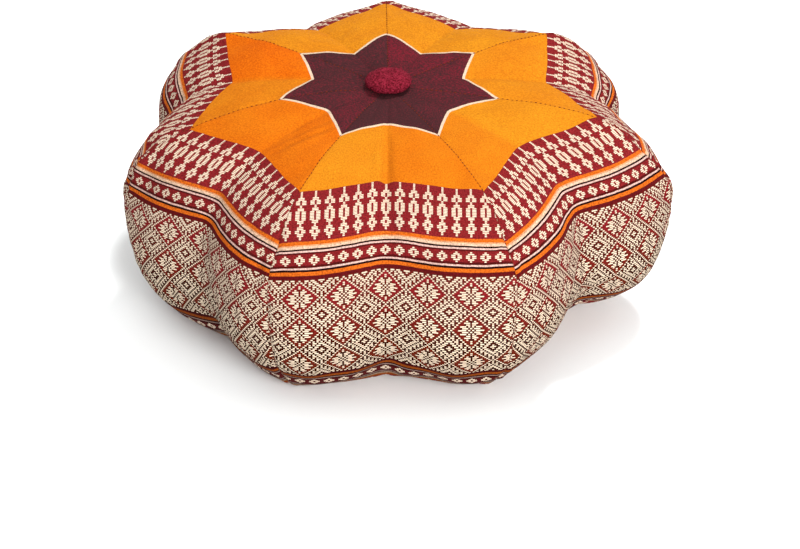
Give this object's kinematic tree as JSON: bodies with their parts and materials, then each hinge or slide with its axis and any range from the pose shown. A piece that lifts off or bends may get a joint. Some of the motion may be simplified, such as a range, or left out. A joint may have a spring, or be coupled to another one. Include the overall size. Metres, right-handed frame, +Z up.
{
  "type": "meditation cushion",
  "caption": "Round stuffed floor cushion sewn from like gores of striped, patterned cloth, with lobes along its seams, drawn-in valleys and a cloth-covered button on top",
  "frame": {"origin": "on the floor, at the middle of the footprint's box", "axes": "+Z up through the button, +Y towards the back, +X to the right of someone facing the front"},
  "size_m": [0.4218, 0.4168, 0.1899],
  "materials": {
    "woven_cover": "matt woven cotton in orange, deep red and cream",
    "button_cloth": "matt woven cotton in dark raspberry"
  },
  "bodies": {
    "root": {"cushion": "woven_cover", "button": "button_cloth"}
  },
  "joints": []
}
